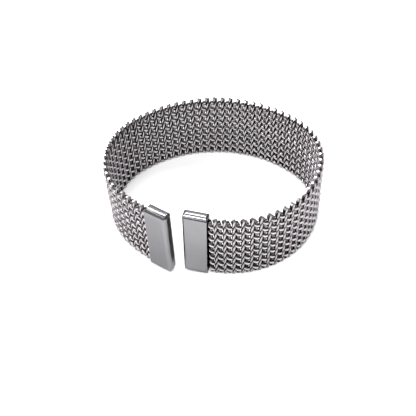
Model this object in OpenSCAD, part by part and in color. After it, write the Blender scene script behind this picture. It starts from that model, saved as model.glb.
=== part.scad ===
// Mesh bracelet: an open oval loop of coarse steel mesh, with two end caps.
// The loop stands on its lower edge. X runs across the loop, Y from the clasp to
// the back, and Z up. The origin is under the middle of the loop, on the surface
// that it stands on.

/* [Mesh] */
// Height of the mesh, from its lower to its upper edge
mesh_h = 25; // [18:0.5:32]
// Thickness of the mesh
mesh_t = 2.2; // [1.8:0.1:3]
// Turn of the loop from one flat facet of the mesh to the next, in degrees
facet_turn = 4; // [2:0.5:8]

/* [Loop] */
// Radius of the bend at the right of the back, on the middle of the mesh
right_bend_r = 21.5; // [18:0.1:25]
// Turn of the bend at the right of the back, in degrees
right_bend_turn = 48; // [40:1:56]
// Turn of the flat back, in degrees
back_turn = 85.5; // [75:0.5:95]
// Radius of the bend at the left side
left_bend_r = 23; // [20:0.1:27]
// Turn of the bend at the left side, in degrees
left_bend_turn = 91; // [80:1:100]
// Radius of the stretch from the left bend to the left cap
front_left_r = 41; // [32:0.5:52]
// Turn of the stretch from the left bend to the left cap, in degrees
front_left_turn = 17.5; // [12:0.5:24]

/* [End caps] */
// Length of a cap along the band
cap_w = 7.6; // [6:0.1:10]
// Wall of a cap around the end of the mesh
cap_wall = 0.75; // [0.5:0.05:1.2]
// How far a cap stands above the upper edge of the mesh
cap_rise = 1; // [0.5:0.1:2]
// Rounding of the upright edges at a cap's free end
cap_end_r = 1.4; // [0.4:0.1:1.6]
// Rounding of the upper corner at a cap's free end
cap_corner_r = 1.6; // [0.6:0.1:2]
// Rounding of the upper corner at a cap's mouth
cap_mouth_r = 1.2; // [0.4:0.1:1.2]
// Rounding of the lower corner at a cap's free end
cap_foot_r = 2.2; // [0.6:0.1:3]
// Depth to which the mesh is seated in a cap
seat_depth = 4; // [2.5:0.1:5]
// How much the seated mesh is squeezed on each face
seat_squeeze = 0.1; // [0.05:0.05:0.2]
// Bevel along the edges of the seated mesh
seat_bevel = 0.4; // [0.2:0.05:0.6]
// Clearance between the mesh and the cap around it
seat_clear = 0.15; // [0.05:0.05:0.3]

/* [Clasp] */
// Space between the feet of the caps' free ends, along the band
clasp_gap = 2.5; // [1.5:0.1:6]
// How far the left cap's free end stands outside the right one's
clasp_step = 2.8; // [0:0.1:4]
// Angle between the two caps, in degrees
clasp_fold = 19; // [8:1:28]
// Direction of the band at the clasp, in degrees from the X axis
clasp_heading = -25.8; // [-32:0.1:-18]
// Lean of the right cap, with its top away from the gap, in degrees
right_lean = 1.5; // [0:0.1:3]

/* [Hidden] */
$fn = 96;

// The seated ends of the mesh are lower than the rest, so the caps close over them
tab_t = mesh_t - 2 * seat_squeeze;
tab_z = cap_wall + seat_clear;
tab_h = mesh_h - 2 * tab_z;
cap_t = tab_t + 2 * tab_z;
cap_h = mesh_h + cap_rise;
// The mouth of the leaning cap stands off the mesh by this much at its foot
lean_room = cap_h * tan(right_lean);

function along(heading) = [cos(heading), sin(heading)];
function outward(heading) = [sin(heading), -cos(heading)];

// The clasp, measured from the middle of the gap between the caps
right_heading = clasp_heading + clasp_fold / 2;
left_heading = clasp_heading - clasp_fold / 2;
right_tip = along(clasp_heading) * clasp_gap / 2 - outward(clasp_heading) * clasp_step / 2;
left_tip = outward(clasp_heading) * clasp_step / 2 - along(clasp_heading) * clasp_gap / 2;
right_mesh_end = right_tip + along(right_heading) * (cap_w + lean_room);
left_mesh_end = left_tip - along(left_heading) * cap_w;

// The mesh goes from the right cap round the back to the left cap in five bends.
// Three radii are set above. The first and the third close the loop.
front_right_turn = 360 - clasp_fold - right_bend_turn - back_turn - left_bend_turn
    - front_left_turn;
turns = [front_right_turn, right_bend_turn, back_turn, left_bend_turn, front_left_turn];
function heading_at(k) = k == 0 ? right_heading : heading_at(k - 1) + turns[k - 1];
headings = [for (k = [0:len(turns)]) heading_at(k)];
// The way across a bend of radius 1
spans = [for (k = [0:len(turns) - 1]) outward(headings[k + 1]) - outward(headings[k])];
to_span = left_mesh_end - right_mesh_end - right_bend_r * spans[1]
    - left_bend_r * spans[3] - front_left_r * spans[4];
function cross2(a, b) = a[0] * b[1] - a[1] * b[0];
front_right_r = cross2(to_span, spans[2]) / cross2(spans[0], spans[2]);
back_r = cross2(spans[0], to_span) / cross2(spans[0], spans[2]);
radii = [front_right_r, right_bend_r, back_r, left_bend_r, front_left_r];
function start_at(k) = k == 0 ? right_mesh_end
    : start_at(k - 1) + radii[k - 1] * spans[k - 1];
starts = [for (k = [0:len(turns) - 1]) start_at(k)];

// The point where bend k has the given heading, and the middle of the loop
function point_on(k, heading) =
    starts[k] + radii[k] * (outward(heading) - outward(headings[k]));
function bend_with(heading) =
    [for (k = [0:len(turns) - 1]) if (headings[k] <= heading && heading < headings[k + 1]) k][0];
function extreme(heading) = point_on(bend_with(heading), heading);
middle = [(extreme(90)[0] + extreme(270)[0]) / 2, (extreme(0)[1] + extreme(180)[1]) / 2];

// The line along the middle of the mesh: rows of [point, heading]
function rows_of(k) = let (count = ceil(turns[k] / facet_turn))
    [for (i = [0:count - 1]) let (heading = headings[k] + turns[k] * i / count)
        [point_on(k, heading), heading]];
last_row = [left_mesh_end, headings[len(turns)]];
mid_line = concat([for (k = [0:len(turns) - 1]) each rows_of(k)], [last_row]);
function face_line(side) = [for (row = mid_line) row[0] + side * outward(row[1])];
function reversed(list) = [for (i = [len(list) - 1:-1:0]) list[i]];

// Places its children at a point of the loop's plan, with X along the heading
module on_plan(point, heading) {
    translate([point[0] - middle[0], point[1] - middle[1], 0])
        rotate([0, 0, heading]) children();
}

// Places its children in the frame of a cap: X goes from the free end to the mouth
module at_right_cap() {
    on_plan(right_mesh_end, right_heading) translate([-lean_room, 0, 0])
        rotate([0, right_lean, 0]) translate([-cap_w, 0, 0]) children();
}

module at_left_cap() {
    on_plan(left_mesh_end, left_heading + 180) translate([-cap_w, 0, 0]) children();
}

// Sweeps a section straight along X
module run_along(from, to) {
    translate([from, 0, 0]) rotate([90, 0, 90]) linear_extrude(to - from) children();
}

// A section of the seated mesh: a bevelled rectangle that stands on the line y = 0
module seat_section(width, height) {
    inner = width / 2 - seat_bevel;
    outer = width / 2;
    top = height - seat_bevel;
    polygon([[-inner, 0], [inner, 0], [outer, seat_bevel], [outer, top],
        [inner, height], [-inner, height], [-outer, top], [-outer, seat_bevel]]);
}

// The seated end of the mesh, from inside the cap to inside the first bend
module seated_end(reach) {
    translate([0, 0, tab_z])
        run_along(cap_w - seat_depth, cap_w + reach) seat_section(tab_t, tab_h);
}

module mesh_band() {
    color("darkgray") {
        translate([-middle[0], -middle[1], 0]) linear_extrude(mesh_h)
            polygon(concat(face_line(mesh_t / 2), reversed(face_line(-mesh_t / 2))));
        at_right_cap() seated_end(seat_clear + lean_room);
        at_left_cap() seated_end(seat_clear);
    }
}

// The section of a cap, with a full round along its top and its bottom
module cap_section() {
    nose_r = cap_t / 2;
    translate([-nose_r, nose_r]) square([cap_t, cap_h - cap_t]);
    for (y = [nose_r, cap_h - nose_r]) translate([0, y]) circle(nose_r);
}

// A rectangle with a lower and an upper corner rounded at x = 0
module end_outline(length, width, low_r, high_r) {
    low = -width / 2;
    high = width / 2;
    translate([0, low + low_r]) square([length, width - low_r - high_r]);
    translate([low_r, low]) square([length - low_r, width - high_r]);
    translate([high_r, low + low_r]) square([length - high_r, width - low_r]);
    translate([low_r, low + low_r]) circle(low_r);
    translate([high_r, high - high_r]) circle(high_r);
}

// A rectangle from x = 0 with its upper corner rounded at the far end
module mouth_outline(length, width, high_r) {
    translate([0, -width / 2]) square([length - high_r, width]);
    translate([0, -width / 2]) square([length, width - high_r]);
    translate([length - high_r, width / 2 - high_r]) circle(high_r);
}

// Turns an outline upright, so that it cuts across the whole thickness of a cap
module across_cap() {
    translate([0, cap_t / 2, cap_h / 2]) rotate([90, 0, 0]) linear_extrude(cap_t) children();
}

// The slot in a cap's mouth
module seat() {
    translate([0, 0, tab_z - seat_clear])
        run_along(cap_w - seat_depth - seat_clear, cap_w + seat_clear)
            seat_section(tab_t + 2 * seat_clear, tab_h + 2 * seat_clear);
}

module end_cap() {
    difference() {
        intersection() {
            run_along(0, cap_w) cap_section();
            linear_extrude(cap_h) end_outline(cap_w, cap_t, cap_end_r, cap_end_r);
            across_cap() end_outline(cap_w, cap_h, cap_foot_r, cap_corner_r);
            across_cap() mouth_outline(cap_w, cap_h, cap_mouth_r);
        }
        seat();
    }
}

module left_end_cap() {
    color("silver") at_left_cap() end_cap();
}

module right_end_cap() {
    color("silver") at_right_cap() end_cap();
}

mesh_band();
left_end_cap();
right_end_cap();
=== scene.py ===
"""Mesh bracelet: steel wire coils woven into an oval band, with two polished end caps."""
import math

import bmesh
import bpy
import numpy as np
from mathutils import Matrix, Vector


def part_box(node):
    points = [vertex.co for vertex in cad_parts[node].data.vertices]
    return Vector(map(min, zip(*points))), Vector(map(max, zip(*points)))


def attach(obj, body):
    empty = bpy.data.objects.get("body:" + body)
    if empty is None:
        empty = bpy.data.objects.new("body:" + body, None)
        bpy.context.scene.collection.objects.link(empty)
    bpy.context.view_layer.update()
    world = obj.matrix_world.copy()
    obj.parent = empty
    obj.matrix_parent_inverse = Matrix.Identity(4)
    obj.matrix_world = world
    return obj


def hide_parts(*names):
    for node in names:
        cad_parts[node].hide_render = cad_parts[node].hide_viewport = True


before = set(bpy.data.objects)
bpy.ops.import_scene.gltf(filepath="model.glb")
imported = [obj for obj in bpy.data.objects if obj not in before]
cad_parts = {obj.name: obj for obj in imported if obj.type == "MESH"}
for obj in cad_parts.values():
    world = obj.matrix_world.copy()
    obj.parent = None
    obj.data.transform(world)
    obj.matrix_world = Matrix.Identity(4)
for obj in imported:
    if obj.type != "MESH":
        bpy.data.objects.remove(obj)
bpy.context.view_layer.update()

MM = 0.001
PHOTO_SIZE = 416

# The weave. Upright coils of two kinds take turns along the band. A rib coil is narrow and
# steep and makes a raised rib. A link coil is wider, lies between two ribs, and has a
# straight tie wire inside it. The place is 1 for a kind that starts one step further along
# the band. The drop is how far a kind ends below the upper edge. The phase is in turns, at
# the foot
COIL_STEP = 2.661 / 2 * MM
FIRST_COIL = 0.67 * MM
LAST_COIL_ROOM = 0.7 * MM
ROW_RISE = 2.85 * MM
WEAVE = {
    "rib_coils": {"Place": 1, "Drop": 0.0, "Wires": 3, "Hand": 1.0, "Half width": 0.4 * MM,
                  "Half depth": 0.42 * MM, "Wire": 0.85 * MM, "Phase": 0.05},
    "link_coils": {"Place": 0, "Drop": 0.9 * MM, "Wires": 1, "Hand": -1.0,
                   "Half width": 0.7 * MM, "Half depth": 0.5 * MM, "Wire": 1.2 * MM,
                   "Phase": -0.289},
    # The tie wire lies in the middle of the band, where the recesses' painted shade makes it near
    # black: a dark wire standing as shade in the gaps of the weave
    "painted_shade_tie_wires": {"Place": 0, "Drop": 1.3 * MM, "Wires": 1, "Hand": 1.0, "Half width": 0.0,
                  "Half depth": 0.0, "Wire": 1.15 * MM, "Phase": 0.0},
}
WIRE_SIDES = 6
POINTS_A_TURN = 18
# The wire's colour holds painted light and shade. Within this far of the middle of the band,
# in the recesses of the weave, it is painted shade, near black, and from this far it has its
# full colour, as painted light on the crowns. Along the upper edge, from this far below it,
# painted light lifts the shade to this share
PAINTED_SHADE_DEPTH = 0.5 * MM
PAINTED_LIGHT_DEPTH = 0.85 * MM
RIM_DEPTH = 1.5 * MM
RIM_PAINTED_LIGHT = 0.4

# The camera, as fitted to the photo: its height above the horizon, its roll in radians, its
# distance from the aim near the middle of the band, its shift to the right and up, and its
# focal length in the photo's pixels
CAMERA_ELEVATION = math.radians(48.2)
CAMERA_ROLL = -0.05
CAMERA_DISTANCE = 224.25 * MM
CAMERA_SHIFT = (-2.344 * MM, -8.761 * MM)
CAMERA_AIM = Vector((-0.042, 0.509, 12.5)) * MM
FOCAL_PIXELS = 689.4
SENSOR = 36.0

# Where each softbox stands, where it points, its size in metres and its power in watts
SOFTBOXES = {
    "front_strip": ((0, -0.35, 0.8), (0, -0.35, 0), (0.9, 0.25), 8.8),
    "back_strip": ((0, 0.35, 0.8), (0, 0.35, 0), (0.9, 0.25), 8.8),
    "left_strip": ((-0.55, -0.45, 0.3), (0, 0, 0), (0.05, 0.2), 0.6),
    "left_fill": ((-0.6, 0.05, 0.55), (0, 0, 0), (0.3, 0.3), 2.5),
    "low_strip": ((-0.4, -0.65, 0.5), (0, 0, 0), (0.6, 0.1), 1.0),
    "back_wall": ((0.2, 1.0, 0.55), (0, 0, 0), (1.5, 0.9), 4.0),
}
WORLD_LIGHT = 0.3
FLOOR_SIZE = 3.0
FLOOR_WHITE = 0.9


# Materials

# Darkens the metals where they are seen at a glancing angle
GLANCING_TINT = (0.35, 0.34, 0.35)
# The noise darkens a metal's colour down to this share, spreads its roughness by this share
# either way, and makes handling marks of this depth
STREAK_SHADE = 0.9
GLOSS_SPREAD = 0.3
MARK_DEPTH = 0.02 * MM


def new_material(name):
    """A material with the nodes and links that it is built from."""
    material = bpy.data.materials.new(name)
    material.use_nodes = True
    return material, material.node_tree.nodes, material.node_tree.links


def polished_steel(name, colour, roughness, bump_strength, scale, painted_shade=None):
    """Bright steel with faint streaks in its gloss and the finest handling marks. Where a
    painted shade colour is given, the colour turns to it where the piece's stored share of
    painted light is low: painted shade in the recesses of the weave."""
    material, nodes, links = new_material(name)
    shader = nodes["Principled BSDF"]
    shader.inputs["Metallic"].default_value = 1.0
    shader.inputs["Specular Tint"].default_value = (*GLANCING_TINT, 1)
    place = nodes.new("ShaderNodeTexCoord")
    noise = nodes.new("ShaderNodeTexNoise")
    noise.inputs["Scale"].default_value = scale
    noise.inputs["Detail"].default_value = 4.0
    links.new(place.outputs["Object"], noise.inputs["Vector"])
    tint = nodes.new("ShaderNodeMix")
    tint.data_type = "RGBA"
    tint.inputs["A"].default_value = (*[STREAK_SHADE * c for c in colour], 1)
    tint.inputs["B"].default_value = (*colour, 1)
    links.new(noise.outputs["Fac"], tint.inputs["Factor"])
    shade = tint.outputs["Result"]
    # Painted shade: near black where the stored painted light is low, in the weave's recesses
    if painted_shade:
        painted_light = nodes.new("ShaderNodeAttribute")
        painted_light.attribute_name = "painted_light"
        painted_shading = nodes.new("ShaderNodeMix")
        painted_shading.data_type = "RGBA"
        painted_shading.inputs["A"].default_value = (*painted_shade, 1)
        links.new(shade, painted_shading.inputs["B"])
        links.new(painted_light.outputs["Fac"], painted_shading.inputs["Factor"])
        shade = painted_shading.outputs["Result"]
    links.new(shade, shader.inputs["Base Color"])
    gloss = nodes.new("ShaderNodeMapRange")
    gloss.inputs["To Min"].default_value = roughness * (1 - GLOSS_SPREAD)
    gloss.inputs["To Max"].default_value = roughness * (1 + GLOSS_SPREAD)
    links.new(noise.outputs["Fac"], gloss.inputs["Value"])
    links.new(gloss.outputs["Result"], shader.inputs["Roughness"])
    bump = nodes.new("ShaderNodeBump")
    bump.inputs["Strength"].default_value = bump_strength
    bump.inputs["Distance"].default_value = MARK_DEPTH
    links.new(noise.outputs["Fac"], bump.inputs["Height"])
    links.new(bump.outputs["Normal"], shader.inputs["Normal"])
    return material


# The wire's last colour is a near-black painted shade for the recesses of the weave
wire_steel = polished_steel("wire_steel", (0.58, 0.548, 0.565), 0.18, 0.12, 900,
                            painted_shade=(0.006, 0.004, 0.005))
cap_steel = polished_steel("cap_steel", (0.24, 0.238, 0.248), 0.2, 0.05, 400)


# The line of the loop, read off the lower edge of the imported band

def plan_line(node):
    """The middle of the band in plan, from the right cap round the back to the left cap."""
    foot_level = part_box(node)[0][2] + 0.01 * MM
    feet = {(round(v.co.x, 6), round(v.co.y, 6))
            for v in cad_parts[node].data.vertices if v.co.z < foot_level}
    cap = [(a + b) / 2 for a, b in zip(*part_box("right_end_cap"))]
    start = math.atan2(cap[1], cap[0])
    turned = sorted(feet, key=lambda p: (math.atan2(p[1], p[0]) - start) % math.tau)
    return [Vector(((a[0] + b[0]) / 2, (a[1] + b[1]) / 2, 0))
            for a, b in zip(turned[0::2], turned[1::2])]


def line_object(name, points):
    """The points joined by edges, as an object that Geometry Nodes can follow."""
    data = bpy.data.meshes.new(name)
    edges = [(i, i + 1) for i in range(len(points) - 1)]
    data.from_pydata([tuple(p) for p in points], edges, [])
    piece = bpy.data.objects.new(name, data)
    bpy.context.collection.objects.link(piece)
    return piece


# Geometry Nodes

def add_node(tree, kind, settings=None, **links):
    """Adds a node, sets its settings, and links or fills its inputs by name or number."""
    node = tree.nodes.new(kind)
    for key, value in (settings or {}).items():
        setattr(node, key, value)
    for key, value in links.items():
        numbered = key[0] == "i" and key[1:].isdigit()
        socket = node.inputs[int(key[1:]) if numbered else key.replace("_", " ")]
        if isinstance(value, bpy.types.NodeSocket):
            tree.links.new(value, socket)
        else:
            socket.default_value = value
    return node


def maths(tree, operation, a, b=0.0):
    return add_node(tree, "ShaderNodeMath", {"operation": operation}, i0=a, i1=b).outputs[0]


def new_tree(name, inputs):
    """An empty tree with its inputs, and the nodes where it is entered and left."""
    tree = bpy.data.node_groups.new(name, "GeometryNodeTree")
    tree.interface.new_socket("Geometry", in_out="INPUT", socket_type="NodeSocketGeometry")
    tree.interface.new_socket("Geometry", in_out="OUTPUT", socket_type="NodeSocketGeometry")
    for label, kind in inputs:
        tree.interface.new_socket(label, in_out="INPUT", socket_type="NodeSocket" + kind)
    entry = tree.nodes.new("NodeGroupInput")
    return tree, entry, tree.nodes.new("NodeGroupOutput")


COIL_INPUTS = {"First coil": "Float", "Coil spacing": "Float", "Coils": "Int", "Wires": "Int",
               "Hand": "Float", "Half width": "Float", "Half depth": "Float", "Foot": "Float",
               "Height": "Float", "Turns": "Float", "Phase": "Float", "Points": "Int",
               "Wire": "Float", "Wire sides": "Int", "Painted shade depth": "Float",
               "Painted light depth": "Float", "Rim depth": "Float", "Rim painted light": "Float",
               "Finish": "Material"}


def wire_painted_light(tree, size):
    """How much painted light a point of the wire gets: 1 on the crowns of the weave, 0 in its
    recesses, where its colour is painted shade, and up to a share near the upper edge.
    """
    point = add_node(tree, "GeometryNodeInputPosition").outputs[0]
    sides = add_node(tree, "ShaderNodeSeparateXYZ", Vector=point).outputs
    painted_light = add_node(tree, "ShaderNodeMapRange", Value=maths(tree, "ABSOLUTE", sides["Y"]),
                     From_Min=size["Painted shade depth"], From_Max=size["Painted light depth"]).outputs[0]
    # Painted light near the upper edge lifts part of the painted shade
    top = maths(tree, "ADD", size["Foot"], size["Height"])
    rim = add_node(tree, "ShaderNodeMapRange", Value=maths(tree, "SUBTRACT", top, sides["Z"]),
                   From_Min=size["Rim depth"], From_Max=0.0, To_Max=size["Rim painted light"]).outputs[0]
    return maths(tree, "MAXIMUM", painted_light, rim)


def coil_wires(tree, size):
    """The wires of one coil about the Z axis: a line for each, bent to a helix of oval plan."""
    count = maths(tree, "MULTIPLY", size["Wires"], size["Points"])
    line = add_node(tree, "GeometryNodeMeshLine", Count=count).outputs[0]
    index = add_node(tree, "GeometryNodeInputIndex").outputs[0]
    next_place = maths(tree, "MODULO", maths(tree, "ADD", index, 1.0), size["Points"])
    between_wires = maths(tree, "LESS_THAN", next_place, 0.5)
    lines = add_node(tree, "GeometryNodeDeleteGeometry", {"domain": "EDGE", "mode": "EDGE_FACE"},
                     Geometry=line, Selection=between_wires).outputs[0]
    wire = maths(tree, "FLOOR", maths(tree, "DIVIDE", index, size["Points"]))
    place = maths(tree, "MODULO", index, size["Points"])
    rise = maths(tree, "DIVIDE", place, maths(tree, "SUBTRACT", size["Points"], 1.0))
    turns = maths(tree, "ADD", maths(tree, "MULTIPLY", rise, size["Turns"]), size["Phase"])
    turns = maths(tree, "ADD", turns, maths(tree, "DIVIDE", wire, size["Wires"]))
    angle = maths(tree, "MULTIPLY", turns, math.tau)
    across = maths(tree, "MULTIPLY", maths(tree, "COSINE", angle), size["Half width"])
    sweep = maths(tree, "MULTIPLY", maths(tree, "SINE", angle), size["Hand"])
    depth = maths(tree, "MULTIPLY", sweep, size["Half depth"])
    height = maths(tree, "ADD", maths(tree, "MULTIPLY", rise, size["Height"]), size["Foot"])
    point = add_node(tree, "ShaderNodeCombineXYZ", X=across, Y=depth, Z=height).outputs[0]
    helix = add_node(tree, "GeometryNodeSetPosition", Geometry=lines, Position=point).outputs[0]
    curve = add_node(tree, "GeometryNodeMeshToCurve", Mesh=helix).outputs[0]
    radius = maths(tree, "MULTIPLY", size["Wire"], 0.5)
    section = add_node(tree, "GeometryNodeCurvePrimitiveCircle", Resolution=size["Wire sides"],
                       Radius=radius).outputs[0]
    wires = add_node(tree, "GeometryNodeCurveToMesh", Curve=curve, Profile_Curve=section,
                     Fill_Caps=True).outputs[0]
    # Stores the share of painted light on each point; the material paints shade where it is low
    shaded = add_node(tree, "GeometryNodeStoreNamedAttribute", {"data_type": "FLOAT"},
                      Geometry=wires, Name="painted_light", Value=wire_painted_light(tree, size)).outputs[0]
    return add_node(tree, "GeometryNodeSetShadeSmooth", Geometry=shaded).outputs[0]


def coil_stations(tree, loop, size):
    """A point for each coil along the loop, and the band's heading there."""
    row = add_node(tree, "GeometryNodeMeshLine", Count=size["Coils"]).outputs[0]
    index = add_node(tree, "GeometryNodeInputIndex").outputs[0]
    length = maths(tree, "MULTIPLY", index, size["Coil spacing"])
    length = maths(tree, "ADD", length, size["First coil"])
    curve = add_node(tree, "GeometryNodeMeshToCurve", Mesh=loop).outputs[0]
    sample = add_node(tree, "GeometryNodeSampleCurve", {"mode": "LENGTH", "use_all_curves": True},
                      Curves=curve, Length=length)
    placed = add_node(tree, "GeometryNodeSetPosition", Geometry=row,
                      Position=sample.outputs["Position"]).outputs[0]
    stations = add_node(tree, "GeometryNodeMeshToPoints", Mesh=placed).outputs[0]
    heading = add_node(tree, "FunctionNodeAxesToRotation",
                       {"primary_axis": "Z", "secondary_axis": "X"},
                       i0=(0.0, 0.0, 1.0), i1=sample.outputs["Tangent"]).outputs[0]
    return stations, heading


def coil_row_tree():
    """A row of upright wire coils that follows the loop's line, as one mesh."""
    tree, entry, leave = new_tree("coil_row", COIL_INPUTS.items())
    size = entry.outputs
    stations, heading = coil_stations(tree, size["Geometry"], size)
    row = add_node(tree, "GeometryNodeInstanceOnPoints", Points=stations,
                   Instance=coil_wires(tree, size), Rotation=heading).outputs[0]
    whole = add_node(tree, "GeometryNodeRealizeInstances", Geometry=row).outputs[0]
    done = add_node(tree, "GeometryNodeSetMaterial", Geometry=whole, Material=size["Finish"])
    tree.links.new(done.outputs[0], leave.inputs[0])
    return tree


def coil_row(name, tree, points, sizes):
    """One row of coils as a plain mesh."""
    line = line_object(name + "_line", points)
    modifier = line.modifiers.new("weave", "NODES")
    modifier.node_group = tree
    for socket in tree.interface.items_tree:
        if socket.in_out == "INPUT" and socket.name in sizes:
            modifier[socket.identifier] = sizes[socket.name]
    line.update_tag()
    bpy.context.view_layer.update()
    shaped = line.evaluated_get(bpy.context.evaluated_depsgraph_get())
    data = bpy.data.meshes.new_from_object(shaped)
    data.name = name
    piece = bpy.data.objects.new(name, data)
    bpy.context.collection.objects.link(piece)
    bpy.data.objects.remove(line)
    return piece


def woven_mesh():
    """The rows of coils and wires that make the band."""
    points = plan_line("mesh_band")
    length = sum((b - a).length for a, b in zip(points, points[1:]))
    low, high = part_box("mesh_band")
    tree = coil_row_tree()
    pieces = []
    for name, kind in WEAVE.items():
        first = FIRST_COIL + kind["Place"] * COIL_STEP
        height = high[2] - low[2] - kind["Wire"] - kind["Drop"]
        turns = height / (kind["Wires"] * ROW_RISE) if kind["Half depth"] else 0.0
        sizes = dict(kind)
        sizes.update({"First coil": first, "Coil spacing": 2 * COIL_STEP,
                      "Coils": int((length - LAST_COIL_ROOM - first) / (2 * COIL_STEP)) + 1,
                      "Foot": low[2] + kind["Wire"] / 2, "Height": height, "Turns": turns,
                      "Points": max(2, int(turns * POINTS_A_TURN) + 1),
                      "Wire sides": WIRE_SIDES, "Painted shade depth": PAINTED_SHADE_DEPTH,
                      "Painted light depth": PAINTED_LIGHT_DEPTH, "Rim depth": RIM_DEPTH,
                      "Rim painted light": RIM_PAINTED_LIGHT, "Finish": wire_steel})
        pieces.append(coil_row(name, tree, points, sizes))
    return pieces


# The end caps

# Facets that meet at less than this angle follow one curve, and points nearer to each other
# than the weld are one
SHARP_EDGE = math.radians(35)
WELD = 0.001 * MM


def polished_cap(node):
    """The cap's own solid with its facets joined and shaded as the curves that they follow."""
    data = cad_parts[node].data.copy()
    data.name = node + "_polished"
    piece = bpy.data.objects.new(node + "_polished", data)
    bpy.context.collection.objects.link(piece)
    shape = bmesh.new()
    shape.from_mesh(data)
    bmesh.ops.remove_doubles(shape, verts=shape.verts, dist=WELD)
    for face in shape.faces:
        face.smooth = True
    for edge in shape.edges:
        edge.smooth = len(edge.link_faces) == 2 and edge.calc_face_angle() < SHARP_EDGE
    shape.to_mesh(data)
    shape.free()
    data.materials.clear()
    data.materials.append(cap_steel)
    weighted = piece.modifiers.new("flat_faces", "WEIGHTED_NORMAL")
    weighted.keep_sharp = True
    return piece


for piece in woven_mesh():
    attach(piece, "root")
    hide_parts("mesh_band")
for node in ("left_end_cap", "right_end_cap"):
    piece = polished_cap(node)
    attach(piece, "root")
    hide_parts(node)


# Floor, light and camera

def pale_floor():
    data = bpy.data.meshes.new("floor")
    half = FLOOR_SIZE / 2
    data.from_pydata([(-half, -half, 0), (half, -half, 0), (half, half, 0), (-half, half, 0)],
                     [], [(0, 1, 2, 3)])
    floor = bpy.data.objects.new("floor", data)
    bpy.context.collection.objects.link(floor)
    material, nodes, _ = new_material("floor_paper")
    nodes["Principled BSDF"].inputs["Base Color"].default_value = (*[FLOOR_WHITE] * 3, 1)
    nodes["Principled BSDF"].inputs["Roughness"].default_value = 0.9
    data.materials.append(material)


def softbox(name, place, aim, size, power):
    """A rectangular lamp that points at its aim."""
    light = bpy.data.lights.new(name, "AREA")
    light.shape = "RECTANGLE"
    light.size, light.size_y = size
    light.energy = power
    lamp = bpy.data.objects.new(name, light)
    bpy.context.collection.objects.link(lamp)
    lamp.location = place
    lamp.rotation_euler = (Vector(aim) - Vector(place)).to_track_quat("-Z", "Y").to_euler()


def studio_light():
    world = bpy.data.worlds.new("studio")
    bpy.context.scene.world = world
    world.use_nodes = True
    background = world.node_tree.nodes["Background"]
    background.inputs["Color"].default_value = (1, 1, 1, 1)
    background.inputs["Strength"].default_value = WORLD_LIGHT
    for name, settings in SOFTBOXES.items():
        softbox(name, *settings)


def fitted_camera():
    """The photo's camera, with its own axes worked out from its elevation and roll."""
    rise, run = math.sin(CAMERA_ELEVATION), math.cos(CAMERA_ELEVATION)
    ahead = Vector((0, run, -rise))
    side, up = Vector((1, 0, 0)), Vector((0, rise, run))
    place = CAMERA_AIM - ahead * CAMERA_DISTANCE + side * CAMERA_SHIFT[0] + up * CAMERA_SHIFT[1]
    rolled_side = side * math.cos(CAMERA_ROLL) + up * math.sin(CAMERA_ROLL)
    rolled_up = up * math.cos(CAMERA_ROLL) - side * math.sin(CAMERA_ROLL)
    data = bpy.data.cameras.new("photo_camera")
    data.sensor_width = SENSOR
    data.sensor_fit = "HORIZONTAL"
    data.lens = SENSOR * FOCAL_PIXELS / PHOTO_SIZE
    data.clip_start, data.clip_end = 0.01, 10
    camera = bpy.data.objects.new("photo_camera", data)
    bpy.context.collection.objects.link(camera)
    turn = Matrix((rolled_side, rolled_up, -ahead)).transposed()
    camera.matrix_world = Matrix.Translation(place) @ turn.to_4x4()
    bpy.context.scene.camera = camera


pale_floor()
studio_light()
fitted_camera()
bpy.context.scene.view_settings.view_transform = "Standard"
